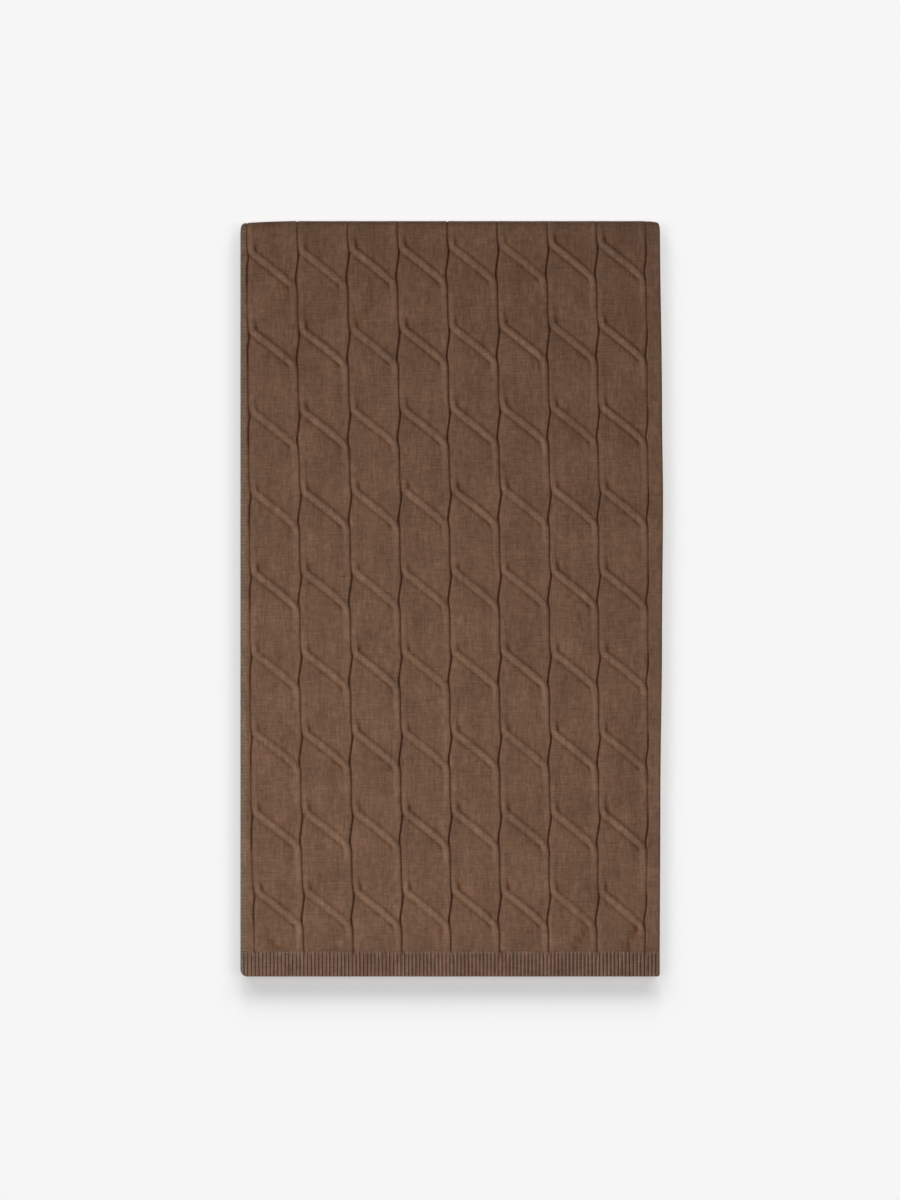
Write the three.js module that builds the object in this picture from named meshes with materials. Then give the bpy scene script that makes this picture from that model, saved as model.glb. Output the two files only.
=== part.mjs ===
// A fine cable-knit scarf, folded in half twice and laid flat, in millimetres.
// +Z is up and the scarf lies on z = 0. The ribbed end is towards -Y and the far fold is
// towards +Y. The layer on top is a knitted wall, with cables raised over a plain inside.
// The three layers under it are one rounded solid, grooved at its edges between the layers.
import * as THREE from 'three';

// Sizes of the folded scarf
const CUT_LENGTH = 1800;
const LAYERS = 4;
const HALF_LENGTH = CUT_LENGTH / LAYERS / 2;
const GREATEST_WIDTH = 251.4;
const LEFT_X = -GREATEST_WIDTH / 2;
const SEAM_GAP = 0.3;

// Heights through the stack
const HIDDEN_LAYER = 2.35;
const HIDDEN_LAYERS = LAYERS - 1;
const INNER_FOLD_Z = 2 * HIDDEN_LAYER;
const HIDDEN_TOP = HIDDEN_LAYERS * HIDDEN_LAYER;
const INSIDE_Z = HIDDEN_TOP + SEAM_GAP;
const CLOTH = 2.3;

// The far fold: the top layer turns a quarter round it, and the lower half of the turn
// belongs to the hidden layers, which also fold inside it
const TURN_Z = INNER_FOLD_Z + SEAM_GAP;
const TURN_INSIDE = INSIDE_Z - TURN_Z;
const TURN_OUTSIDE = TURN_INSIDE + CLOTH;
const QUARTER = Math.PI / 2;
const TURN_LENGTH = TURN_OUTSIDE * QUARTER;
const INNER_FOLD_REACH = TURN_INSIDE - SEAM_GAP;

// Places across the cloth, from its left edge, at distances down from the far fold
const WIDTHS = [
  { down: 0, firstPurl: 3.8, lastPurl: 240.4, rightEdge: 249.6 },
  { down: 110, firstPurl: 4.6, lastPurl: 241.4, rightEdge: 250.8 },
  { down: 165, firstPurl: 5.4, lastPurl: 241.9, rightEdge: 251.4 },
  { down: 250, firstPurl: 5.8, lastPurl: 241.7, rightEdge: 250.8 },
  { down: 345, firstPurl: 6.4, lastPurl: 241.6, rightEdge: 249.5 },
  { down: 450, firstPurl: 8.6, lastPurl: 240.0, rightEdge: 249.3 },
];

// How far each purl line lies aside from even spacing between the first and the last
const PURL_SHIFTS = [-0.3, 0.15, 0.7, 0.8, 0.85, 1.05, 1.25, 1.05, 0.9];

// Rounded corners, and how far the far fold dips towards each side
const FOLD_CORNERS = {
  left: { radius: 3.0, dip: 1.4, reach: 34 },
  right: { radius: 2.4, dip: 0.8, reach: 12 },
};
const HEM_CORNERS = {
  left: { radius: 4.2, dip: 0, reach: 1 },
  right: { radius: 1.6, dip: 0, reach: 1 },
};

// The cables cross once in each pitch. The cloth is stretched a little at the upper right.
const COLUMNS = 8;
const CROSSINGS = 9;
const PITCH = 47.75;
const FIRST_CROSSING_UP = 47.7;
const STRETCH = 6.0;
const UNSTRETCHED_COLUMN = 1.6;

// How the crossings sway the purl lines beside them, by the share of the pitch below a crossing
const SWAYS = [
  { below: 0, sway: 0.95 },
  { below: 0.32, sway: -1.05 },
  { below: 0.45, sway: -0.05 },
  { below: 0.83, sway: 0 },
  { below: 0.94, sway: 0.45 },
  { below: 1, sway: 0.95 },
];
const SWAY_FADE = 4;

// Lines of points down each column: share across, how far the crossing strand has fallen
// there, and the wall's height on its way in, above it, on it, under it, on its way out
// and away from it
const LINES = [
  {
    across: 0.03, fall: 0, rows: 'few',
    lead: 1.9, over: 1.9, crest: 1.95, under: 1.8, tail: 1.8, away: 1.8,
  },
  {
    across: 0.085, fall: -2.3, rows: 'many',
    lead: 2.6, over: 2.7, crest: 2.85, under: 2.0, tail: 2.1, away: 2.15,
  },
  {
    across: 0.185, fall: 0.3, rows: 'many',
    lead: 2.0, over: 1.75, crest: 2.9, under: 1.95, tail: 2.2, away: 2.3,
  },
  {
    across: 0.5, fall: 7.4, rows: 'many',
    lead: 2.35, over: 1.9, crest: 2.95, under: 1.9, tail: 2.3, away: 2.4,
  },
  {
    across: 0.815, fall: 15.5, rows: 'many',
    lead: 2.3, over: 1.95, crest: 2.9, under: 1.75, tail: 2.05, away: 2.3,
  },
  {
    across: 0.915, fall: 17.5, rows: 'many',
    lead: 2.15, over: 2.1, crest: 2.8, under: 2.75, tail: 2.65, away: 2.25,
  },
  {
    across: 0.97, fall: 15, rows: 'few',
    lead: 1.8, over: 1.8, crest: 1.95, under: 1.9, tail: 1.9, away: 1.8,
  },
];
const ROWS = {
  many: [
    { below: -14, part: 'away' },
    { below: -5.6, part: 'lead' },
    { below: -3.4, part: 'over' },
    { below: -1.1, part: 'crest' },
    { below: 1.1, part: 'crest' },
    { below: 3.4, part: 'under' },
    { below: 5.6, part: 'tail' },
    { below: 18, part: 'away' },
  ],
  few: [
    { below: -12, part: 'lead' },
    { below: 0, part: 'crest' },
    { below: 12, part: 'tail' },
    { below: 24, part: 'away' },
  ],
  purl: [
    { below: 0, part: 'away' },
    { below: 7.6, part: 'away' },
    { below: 15.3, part: 'away' },
    { below: 21.5, part: 'away' },
    { below: 39.6, part: 'away' },
  ],
};
const PURL_HEIGHT = 1.1;
const ROW_CLEARANCE = 1.2;

// The plain side borders: points at a distance or a share of the border in from the edge
const LEFT_BORDER = [
  { inward: 0, height: 0.75 },
  { inward: 0.6, height: 1.6 },
  { share: 0.62, height: 2.1 },
];
const RIGHT_BORDER = [
  { share: 0.78, height: 2.15 },
  { share: 0.4, height: 2.05 },
  { inward: 0.7, height: 1.65 },
  { inward: 0, height: 0.75 },
];
const BORDER_ROWS = 20;

// The ribbed hem
const HEM = 15;
const HEM_TOP = -HALF_LENGTH + HEM - SEAM_GAP / 2;
const RIB_PITCH = 2.22;
const RIB_POINTS = [
  { share: 0, height: 1.55 },
  { share: 0.3, height: 2.15 },
  { share: 0.7, height: 2.15 },
];
const HEM_ROUND = { inward: 0.9, lowHeight: 0.6, highShare: 0.85 };

// The plain insides have few and wide faces
const INSIDE_SHARES = [0, 0.006, 0.02, 0.05, 0.12, 0.5, 0.95, 0.99, 1];
const INSIDE_INWARD = 0.5;
const INSIDE_ROWS = 6;
const TURN_STEPS_INSIDE = 4;
const TURN_STEPS_OUTSIDE = 3;

// The hidden layers: how far they draw in, how round each edge is, and how it wanders
const HIDDEN_INWARD = 0.9;
const UNDER_HEM_INWARD = 1.4;
const EDGE_ROUND = 1.3;
const WANDERS = [
  { left: 0.5, right: 0.7, waves: 1.3, phase: 0.4 },
  { left: 0.2, right: 0.3, waves: 2.1, phase: 2.2 },
  { left: 0.6, right: 0.1, waves: 1.7, phase: 4.0 },
];
const LAYER_HEIGHTS = [0, 0.2, 0.5, 0.8, 1];
const RING = { sideSteps: 16, endSteps: 10, cornerSteps: 3, cornerRadius: 3.2 };

function mix(a, b, t) {
  return a + (b - a) * t;
}

function smooth(t) {
  return t * t * (3 - 2 * t);
}

function straight(t) {
  return t;
}

function steps(low, high, count) {
  return Array.from({ length: count + 1 }, (_, n) => mix(low, high, n / count));
}

// Reads a value from a table between the rows on either side of a place
function fromTable(table, key, place, value, ease) {
  const last = table[table.length - 1];
  if (place <= table[0][key]) return table[0][value];
  if (place >= last[key]) return last[value];
  const i = table.findIndex((row) => row[key] > place);
  const t = (place - table[i - 1][key]) / (table[i][key] - table[i - 1][key]);
  return mix(table[i - 1][value], table[i][value], ease(t));
}

function xFromTable(y, value) {
  return LEFT_X + fromTable(WIDTHS, 'down', HALF_LENGTH - y, value, smooth);
}

function rightX(y) {
  return xFromTable(y, 'rightEdge');
}

// How far a rounded and dipping corner draws an end back, at a distance in from the side
function cornerBack(corner, inward) {
  const short = Math.max(0, corner.radius - inward);
  const dip = Math.max(0, 1 - inward / corner.reach);
  return corner.radius - Math.sqrt(corner.radius ** 2 - short ** 2) + corner.dip * dip * dip;
}

function endBack(corners, x, right) {
  return cornerBack(corners.left, Math.max(0, x - LEFT_X))
    + cornerBack(corners.right, Math.max(0, right - x));
}

// The y of the far fold's outermost line, and of the hem's end
function foldY(x) {
  return HALF_LENGTH - endBack(FOLD_CORNERS, x, rightX(HALF_LENGTH));
}

function hemY(x) {
  return -HALF_LENGTH + endBack(HEM_CORNERS, x, rightX(-HALF_LENGTH));
}

// The y at which a crossing of a column starts, counted up from the hem
function crossingY(column, count) {
  const share = count / (CROSSINGS - 1);
  const stretch = STRETCH * (column - UNSTRETCHED_COLUMN) / (COLUMNS - 1);
  return -HALF_LENGTH + FIRST_CROSSING_UP + count * PITCH + stretch * share * share;
}

// How far y lies below the crossing above it, as a share of the way to the next one
function belowCrossing(column, y) {
  let count = CROSSINGS + 1;
  while (crossingY(column, count - 1) >= y) count -= 1;
  const above = crossingY(column, count);
  return (above - y) / (above - crossingY(column, count - 1));
}

// A purl line's middle x, and its sway there
function purlLine(index, y) {
  const even = mix(xFromTable(y, 'firstPurl'), xFromTable(y, 'lastPurl'), index / COLUMNS);
  const below = belowCrossing(Math.min(index, COLUMNS - 1), y);
  return { x: even + PURL_SHIFTS[index], sway: fromTable(SWAYS, 'below', below, 'sway', straight) };
}

function purlX(index, y) {
  const { x, sway } = purlLine(index, y);
  return x + sway;
}

// The x at a share across a column: the sway fades away from the purl lines
function columnX(column, across, y) {
  const left = purlLine(column, y);
  const right = purlLine(column + 1, y);
  const sway = left.sway * (1 - across) ** SWAY_FADE + right.sway * across ** SWAY_FADE;
  return mix(left.x, right.x, across) + sway;
}

// The y at which the flat of the top layer ends and its turn begins
function turnY(x) {
  return foldY(x) - TURN_OUTSIDE;
}

// A point of the top layer. Its run goes up the cloth, along the flat and round the turn,
// and its height is measured from the plain inside.
function onTopLayer(x, run, height) {
  const start = turnY(x);
  if (run <= start) return [x, run, INSIDE_Z + height];
  const angle = Math.min((run - start) / TURN_OUTSIDE, QUARTER);
  const own = TURN_INSIDE + height;
  const radius = Math.min(own, mix(own, TURN_OUTSIDE, smooth(angle / QUARTER)));
  return [x, start + radius * Math.sin(angle), TURN_Z + radius * Math.cos(angle)];
}

// A closed mesh in the making. A line is a list of {id, at}, with at rising along it.
class Shell {
  constructor() {
    this.points = [];
    this.faces = [];
  }

  add(point, at) {
    return { id: this.points.push(point) - 1, at };
  }

  // Fills the strip between two lines, each taking its next point when it is the nearer.
  // Seen from outside, line b lies to the right of line a.
  fill(a, b) {
    let i = 0;
    let j = 0;
    while (i < a.length - 1 || j < b.length - 1) {
      const nextA = i < a.length - 1 ? a[i].at + a[i + 1].at : Infinity;
      const nextB = j < b.length - 1 ? b[j].at + b[j + 1].at : Infinity;
      if (nextA <= nextB) {
        this.faces.push([a[i].id, b[j].id, a[i + 1].id]);
        i += 1;
      } else {
        this.faces.push([a[i].id, b[j].id, b[j + 1].id]);
        j += 1;
      }
    }
  }

  // The points of a line, placed along it by one of their coordinates
  by(axis, line) {
    return line.map(({ id }) => ({ id, at: this.points[id][axis] }));
  }

  // Closes a wall from its outer and inner lines, which run up from the hem and go from
  // left to right
  closeWall(outer, inner) {
    for (let i = 1; i < inner.length; i += 1) this.fill(inner[i], inner[i - 1]);
    const lower = (lines) => this.by(0, lines.map((line) => line[0]));
    const upper = (lines) => this.by(0, lines.map((line) => line.at(-1)));
    this.fill(lower(outer), lower(inner));
    this.fill(upper(inner), upper(outer));
    this.fill(this.by(1, inner[0]), this.by(1, outer[0]));
    this.fill(this.by(1, outer.at(-1)), this.by(1, inner.at(-1)));
  }

  // Covers a ring of points with flat faces, seen from below or from above
  cap(ring, fromBelow) {
    const outline = ring.map(({ id }) => new THREE.Vector2(this.points[id][0], this.points[id][1]));
    for (const [a, b, c] of THREE.ShapeUtils.triangulateShape(outline, [])) {
      const face = fromBelow ? [a, c, b] : [a, b, c];
      this.faces.push(face.map((n) => ring[n].id));
    }
  }

  geometry() {
    const geometry = new THREE.BufferGeometry();
    geometry.setAttribute('position', new THREE.Float32BufferAttribute(this.points.flat(), 3));
    geometry.setIndex(this.faces.flat());
    geometry.computeVertexNormals();
    return geometry;
  }
}

// The places of a line's rows up a column, with the part of the crossing at each
function columnRows(column, fall, rows) {
  const found = [];
  for (let count = 0; count <= CROSSINGS; count += 1) {
    for (const { below, part } of rows) found.push({ run: crossingY(column, count) - fall - below, part });
  }
  return found.sort((p, q) => p.run - q.run);
}

// One line of the cable panel, from the hem seam up and round the turn
function panelLine(shell, xAt, heightOf, rows) {
  const low = HEM_TOP + SEAM_GAP;
  const turn = turnY(xAt(HALF_LENGTH));
  const between = rows.filter(({ run }) => run > low + ROW_CLEARANCE && run < turn - ROW_CLEARANCE);
  const round = steps(turn, turn + TURN_LENGTH, TURN_STEPS_OUTSIDE).map((run) => ({ run, part: 'away' }));
  return [{ run: low, part: 'away' }, ...between, ...round].map(({ run, part }) => {
    const x = xAt(Math.min(run, HALF_LENGTH));
    return shell.add(onTopLayer(x, run, heightOf(part)), run);
  });
}

function borderLine(shell, { inward, share, height }, edgeX, purl) {
  const rows = steps(HEM_TOP, HALF_LENGTH, BORDER_ROWS).map((run) => ({ run, part: 'away' }));
  const side = Math.sign(purlX(purl, 0) - edgeX(0));
  const xAt = (y) => (share === undefined ? edgeX(y) + side * inward : mix(edgeX(y), purlX(purl, y), share));
  return panelLine(shell, xAt, () => height, rows);
}

function purlPanelLine(shell, index) {
  const rows = columnRows(Math.min(index, COLUMNS - 1), 0, ROWS.purl);
  return panelLine(shell, (y) => purlX(index, y), () => PURL_HEIGHT, rows);
}

// The lines of one cable, and its faces, matched along the fall of the crossing strand
function cable(shell, column) {
  const lines = LINES.map((line) => {
    const rows = columnRows(column, line.fall, ROWS[line.rows]);
    return panelLine(shell, (y) => columnX(column, line.across, y), (part) => line[part], rows);
  });
  const alongStrand = lines.map((line, n) => line.map(({ id, at }) => ({ id, at: at + LINES[n].fall })));
  for (let n = 1; n < lines.length; n += 1) shell.fill(alongStrand[n - 1], alongStrand[n]);
  return lines;
}

// The lines of points of the panel's plain inside
function insideLines(shell) {
  return INSIDE_SHARES.map((share) => {
    const xAt = (y) => mix(LEFT_X + INSIDE_INWARD, rightX(y) - INSIDE_INWARD, share);
    const turn = turnY(xAt(HALF_LENGTH));
    const round = steps(turn, turn + TURN_LENGTH, TURN_STEPS_INSIDE).slice(1);
    return [...steps(HEM_TOP + SEAM_GAP, turn, INSIDE_ROWS), ...round].map((run) => {
      const x = xAt(Math.min(run, HALF_LENGTH));
      return shell.add(onTopLayer(x, run, 0), run);
    });
  });
}

// The stretch that shows: plain borders, purl lines and cables, over a plain inside
function cablePanel() {
  const shell = new Shell();
  const outer = LEFT_BORDER.map((point) => borderLine(shell, point, () => LEFT_X, 0));
  outer.push(purlPanelLine(shell, 0));
  const plainStrips = outer.slice(1).map((line, n) => [outer[n], line]);
  for (let column = 0; column < COLUMNS; column += 1) {
    const lines = cable(shell, column);
    const purl = purlPanelLine(shell, column + 1);
    plainStrips.push([outer.at(-1), lines[0]], [lines.at(-1), purl]);
    outer.push(...lines, purl);
  }
  for (const point of RIGHT_BORDER) {
    const line = borderLine(shell, point, rightX, COLUMNS);
    plainStrips.push([outer.at(-1), line]);
    outer.push(line);
  }
  for (const [a, b] of plainStrips) shell.fill(a, b);
  shell.closeWall(outer, insideLines(shell));
  return shell.geometry();
}

// The places across the hem at which its outer surface has a line of points
function ribPlaces(right) {
  const ribs = Math.round((right - LEFT_X) / RIB_PITCH);
  const pitch = (right - LEFT_X) / ribs;
  const places = [];
  for (let rib = 0; rib < ribs; rib += 1) {
    for (const { share, height } of RIB_POINTS) places.push({ x: LEFT_X + (rib + share) * pitch, height });
  }
  places[0].height = HEM_ROUND.lowHeight;
  places.push({ x: right, height: HEM_ROUND.lowHeight });
  return places;
}

// The ribbed end, rounded down at its edge
function ribHem() {
  const shell = new Shell();
  const right = rightX(-HALF_LENGTH);
  const outer = ribPlaces(right).map(({ x, height }) => {
    const end = hemY(x);
    const shoulder = mix(HEM_ROUND.lowHeight, height, HEM_ROUND.highShare);
    return [
      shell.add([x, end, INSIDE_Z + HEM_ROUND.lowHeight], end),
      shell.add([x, end + HEM_ROUND.inward, INSIDE_Z + shoulder], end + HEM_ROUND.inward),
      shell.add([x, HEM_TOP, INSIDE_Z + height], HEM_TOP),
    ];
  });
  for (let n = 1; n < outer.length; n += 1) shell.fill(outer[n - 1], outer[n]);
  const inner = INSIDE_SHARES.map((share) => {
    const x = mix(LEFT_X + INSIDE_INWARD, right - INSIDE_INWARD, share);
    return steps(hemY(x) + INSIDE_INWARD, HEM_TOP, 1).map((y) => shell.add([x, y, INSIDE_Z], y));
  });
  shell.closeWall(outer, inner);
  return shell.geometry();
}

// How far a round edge draws in, at a share of its thickness
function roundBack(share, depth) {
  return depth * (1 - Math.sqrt(Math.max(0, 1 - (2 * share - 1) ** 2)));
}

// How far the hidden layers stay back from the far fold's outermost line. The lower half
// is the outside of the turn, and the upper half is the fold inside it.
function farBack(z, upper) {
  const rise = (z - INNER_FOLD_Z) / (upper ? HIDDEN_LAYER : INNER_FOLD_Z);
  const reach = upper ? INNER_FOLD_REACH : TURN_OUTSIDE;
  return TURN_OUTSIDE - reach * Math.sqrt(Math.max(0, 1 - rise * rise));
}

// How far they stay back from the hem's end: two layers fold there, and the third ends
function nearBack(z, layer, share) {
  if (z <= INNER_FOLD_Z) return roundBack(z / INNER_FOLD_Z, HIDDEN_LAYER);
  return UNDER_HEM_INWARD + roundBack(share, EDGE_ROUND);
}

// A rounded rectangle round the hidden layers, at a share of one layer's thickness
function hiddenRing(shell, layer, share, upper) {
  const z = (layer + share) * HIDDEN_LAYER;
  const inward = HIDDEN_INWARD + roundBack(share, EDGE_ROUND);
  const { left, right, waves, phase } = WANDERS[layer];
  const wander = (y) => (1 + Math.sin(Math.PI * waves * y / HALF_LENGTH + phase)) / 2;
  const r = RING.cornerRadius;
  const low = -HALF_LENGTH + nearBack(z, layer, share) + r;
  const far = farBack(z, upper);
  const high = HALF_LENGTH - far - FOLD_CORNERS.left.dip - r;
  const leftAt = (y) => LEFT_X + inward + left * wander(y);
  const rightAt = (y) => rightX(y) - inward - right * wander(y);
  const ring = [];
  const corner = (x, y, from) => {
    for (const angle of steps(from, from + QUARTER, RING.cornerSteps).slice(1, -1)) {
      ring.push([x + r * Math.cos(angle), y + r * Math.sin(angle), z]);
    }
  };
  for (const y of steps(low, high, RING.sideSteps)) ring.push([rightAt(y), y, z]);
  corner(rightAt(high) - r, high, 0);
  for (const x of steps(rightAt(high) - r, leftAt(high) + r, RING.endSteps)) {
    ring.push([x, Math.max(foldY(x) - far, high + r), z]);
  }
  corner(leftAt(high) + r, high, QUARTER);
  for (const y of steps(high, low, RING.sideSteps)) ring.push([leftAt(y), y, z]);
  corner(leftAt(low) + r, low, 2 * QUARTER);
  for (const x of steps(leftAt(low) + r, rightAt(low) - r, RING.endSteps)) ring.push([x, low - r, z]);
  corner(rightAt(low) - r, low, 3 * QUARTER);
  ring.push(ring[0]);
  return ring.slice(0, -1).map((point, n) => shell.add(point, n));
}

// The three hidden layers, as rings of points from the floor up
function foldedLayers() {
  const shell = new Shell();
  const rings = [hiddenRing(shell, 0, 0, false)];
  for (let layer = 0; layer < HIDDEN_LAYERS; layer += 1) {
    const upper = layer >= 2;
    if (layer === 2) rings.push(hiddenRing(shell, 1, 1, true));
    for (const share of LAYER_HEIGHTS.slice(1)) rings.push(hiddenRing(shell, layer, share, upper));
  }
  const closed = rings.map((ring) => [...ring, { id: ring[0].id, at: ring.length }]);
  for (let n = 1; n < closed.length; n += 1) shell.fill(closed[n], closed[n - 1]);
  shell.cap(rings[0], true);
  shell.cap(rings.at(-1), false);
  return shell.geometry();
}

function piece(name, geometry, color) {
  const material = new THREE.MeshStandardMaterial({ color, roughness: 0.95, metalness: 0 });
  const mesh = new THREE.Mesh(geometry, material);
  mesh.name = name;
  return mesh;
}

const scarf = new THREE.Group();
scarf.add(
  piece('cable_panel', cablePanel(), 0x6b5140),
  piece('rib_hem', ribHem(), 0x695040),
  piece('folded_layers', foldedLayers(), 0x664d3d),
);

export default scarf;
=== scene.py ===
import math

import bpy
import numpy as np
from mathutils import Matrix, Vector


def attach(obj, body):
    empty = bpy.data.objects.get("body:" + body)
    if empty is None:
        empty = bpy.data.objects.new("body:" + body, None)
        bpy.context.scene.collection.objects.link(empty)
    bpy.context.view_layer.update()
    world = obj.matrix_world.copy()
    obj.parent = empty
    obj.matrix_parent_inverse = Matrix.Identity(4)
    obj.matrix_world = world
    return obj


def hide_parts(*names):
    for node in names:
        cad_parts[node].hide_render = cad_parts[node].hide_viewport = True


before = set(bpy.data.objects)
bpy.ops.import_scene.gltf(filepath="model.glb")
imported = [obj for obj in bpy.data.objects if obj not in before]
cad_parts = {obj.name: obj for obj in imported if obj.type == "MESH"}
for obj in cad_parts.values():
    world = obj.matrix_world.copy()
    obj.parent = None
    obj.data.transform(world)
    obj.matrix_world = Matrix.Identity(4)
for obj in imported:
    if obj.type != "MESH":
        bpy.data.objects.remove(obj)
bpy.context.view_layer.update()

MM = 0.001

# Sizes of the folded scarf
HALF_LENGTH = 225.0
LEFT_X = -125.7

# Heights through the stack
HIDDEN_LAYER = 2.35
LAYER_GAP = 0.05
INNER_FOLD_Z = 2 * HIDDEN_LAYER
UNDER_HEM_Z = INNER_FOLD_Z + LAYER_GAP
INSIDE_Z = 3 * HIDDEN_LAYER + LAYER_GAP
CLOTH = 2.4

# The far fold: the middle of its turn, the radius of its inside and its outside, and how far
# the cloth goes round its outside
TURN_RISE = 0.3
TURN_Z = INNER_FOLD_Z + TURN_RISE
TURN_INSIDE = INSIDE_Z - TURN_Z
TURN_OUTSIDE = TURN_INSIDE + CLOTH
TURN_LENGTH = TURN_OUTSIDE * math.pi / 2

# Places across the cloth from its left edge, at distances down from the far fold
WIDTHS = {
    "down": [0, 110, 165, 250, 345, 450],
    "first_purl": [3.8, 4.6, 5.4, 5.8, 6.4, 8.6],
    "last_purl": [240.4, 241.4, 241.9, 241.7, 241.6, 240.0],
    "right_edge": [249.85, 251.1, 251.7, 251.1, 250.1, 249.7],
}

# How far each purl line lies aside from even spacing between the first and the last
PURL_SHIFTS = [0.05, 0.5, 1.05, 1.15, 1.2, 1.4, 1.6, 1.4, 1.25]

# The purl lines near the middle are deeper, by shares of the usual depth
DEEPEST = {"line": 3.4, "more": 0.2, "less_aside": 0.024}

# Rounded corners, and how far the far fold dips towards each side
FOLD_CORNERS = {
    "left": {"radius": 3.0, "dip": 1.4, "reach": 34.0},
    "right": {"radius": 2.4, "dip": 0.8, "reach": 12.0},
}
HEM_CORNERS = {
    "left": {"radius": 4.2, "dip": 0.0, "reach": 1.0},
    "right": {"radius": 1.6, "dip": 0.0, "reach": 1.0},
}

# The cables cross once in each pitch. Crossings are counted up from the hem, with one more
# below the first and two more past the last
COLUMNS = 8
CROSSINGS = 9
COUNTS = range(-1, CROSSINGS + 2)
PITCH = 47.75
FIRST_CROSSING_UP = 47.7
STRETCH = 6.0
UNSTRETCHED_COLUMN = 1.6
COLUMN_WIDTH = 29.5

# The rows of crossings slip down and up in a slow wave, and the last columns hang lower
ROW_WAVE = {"slip": 0.65, "from_row": 0.75, "rows": 8.5}
HANGING = {"slip": 0.4, "after_column": 5}

# How the crossings sway the purl lines beside them, and pinch them deeper, by the share of
# the pitch below a crossing
SWAYS = {
    "below": [0, 0.31, 0.36, 0.4, 0.45, 0.83, 0.94, 1],
    "sway": [1.05, -1.35, -0.75, -0.27, -0.08, 0, 0.45, 1.05],
    "pinch": [1.68, 1.72, 1.45, 1.15, 0.92, 0.82, 1.03, 1.68],
}
SWAY_FADE = 4
OUTER_SWAY = 0.1

# The crossing strand: its path across a column and down from the crossing, how proud it
# stands, and how deep the cloth sinks over it and under it
STRAND = [
    {"across": 2.0, "below": -26.0, "proud": 0.1, "over": 0.0, "under": 0.0},
    {"across": 2.0, "below": -15.0, "proud": 0.25, "over": 0.05, "under": 0.0},
    {"across": 2.0, "below": -10.0, "proud": 0.45, "over": 0.3, "under": 0.0},
    {"across": 2.05, "below": -6.2, "proud": 0.65, "over": 2.0, "under": 0.1},
    {"across": 2.25, "below": -3.6, "proud": 0.9, "over": 2.3, "under": 0.4},
    {"across": 3.5, "below": -1.9, "proud": 1.0, "over": 1.25, "under": 0.8},
    {"across": 5.6, "below": -0.2, "proud": 1.0, "over": 1.0, "under": 1.0},
    {"across": 9.95, "below": 3.05, "proud": 1.0, "over": 0.85, "under": 1.0},
    {"across": 14.75, "below": 6.8, "proud": 1.0, "over": 0.85, "under": 1.0},
    {"across": 21.05, "below": 11.9, "proud": 1.0, "over": 0.9, "under": 1.05},
    {"across": 24.1, "below": 14.5, "proud": 1.0, "over": 0.8, "under": 1.3},
    {"across": 26.1, "below": 16.5, "proud": 1.0, "over": 0.4, "under": 2.1},
    {"across": 26.8, "below": 18.7, "proud": 0.9, "over": 0.1, "under": 1.25},
    {"across": 27.0, "below": 21.8, "proud": 0.75, "over": 0.0, "under": 0.5},
    {"across": 27.1, "below": 26.0, "proud": 0.6, "over": 0.0, "under": 0.2},
    {"across": 27.2, "below": 34.0, "proud": 0.35, "over": 0.0, "under": 0.05},
    {"across": 27.2, "below": 46.0, "proud": 0.1, "over": 0.0, "under": 0.0},
]
STRAND_STEPS = 8
STRAND_PROUD = 0.7
STRAND_FLAT = 0.5
STRAND_FOOT = 2.35
STRAND_REACH = {"above": 30.0, "below": 50.0}
OVER_DEPTH = 0.42
UNDER_DEPTH = 0.4
SINK_AT = 2.65
SINK_WIDTH = {"near": 0.6, "far_over": 1.5, "far_under": 1.1}

# The stretch of its path where the strand leans across the column, by the least rise of a
# step and where it starts
LEANING = {"least_step": 0.02, "from": 2.1}

# Each crossing is a little stronger or weaker than the next, and lies a little up or down
CROSSING_VARIES = 0.15
CROSSING_SHIFT = 0.15
CABLE_SEED = 11

# The purl lines between the columns, and the soft roll of cloth on both sides of them
PURL_DEPTH = 0.95
PURL_HALF_WIDTH = 0.95
PURL_SHARPNESS = 1.3
PURL_ROUND_FOLD = 0.4
ROLL = {"height": 0.14, "at": 2.3, "width": 1.5}

# Where the rows of points lie, down from the crossing strand, and where the lines of
# points lie, in from each purl line
BESIDE_STRAND = [0.6, 1.15, 1.6, 2.05, 2.5, 2.9, 3.3, 3.7, 4.2, 4.8, 5.7]
NEAR_ROWS = [-down for down in reversed(BESIDE_STRAND)] + [0.0] + BESIDE_STRAND
FAR_ROWS = [7.2, 9.6, 12.6, 16.4, 20.6, 25.0, 29.2, 33.0, 36.4, 39.2, 41.0]
NEAR_LINES = [0.2, 0.42, 0.66, 0.95, 1.35, 1.85, 2.4, 3.0, 3.6, 4.2, 4.8, 5.6, 6.8, 8.4]
MIDDLE_LINES = [10.6, 13.2, 16.3, 18.9]
PURL_ROW = 1.5
BORDER_ROW = 3.0
ROW_ROOM = {"seam": 0.5, "turn": 0.4}

# The edge of the cloth: heights of its upper and its under side, in from the edge
EDGE_UPPER = {"inward": [0, 0.2, 0.5, 0.9, 1.5, 2.4], "height": [1.1, 1.65, 1.98, 2.18, 2.28, 2.3]}
EDGE_UNDER = {"inward": [0.3, 1.0], "height": [0.35, 0.0]}
EDGE_POINTS = len(EDGE_UPPER["height"])

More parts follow.
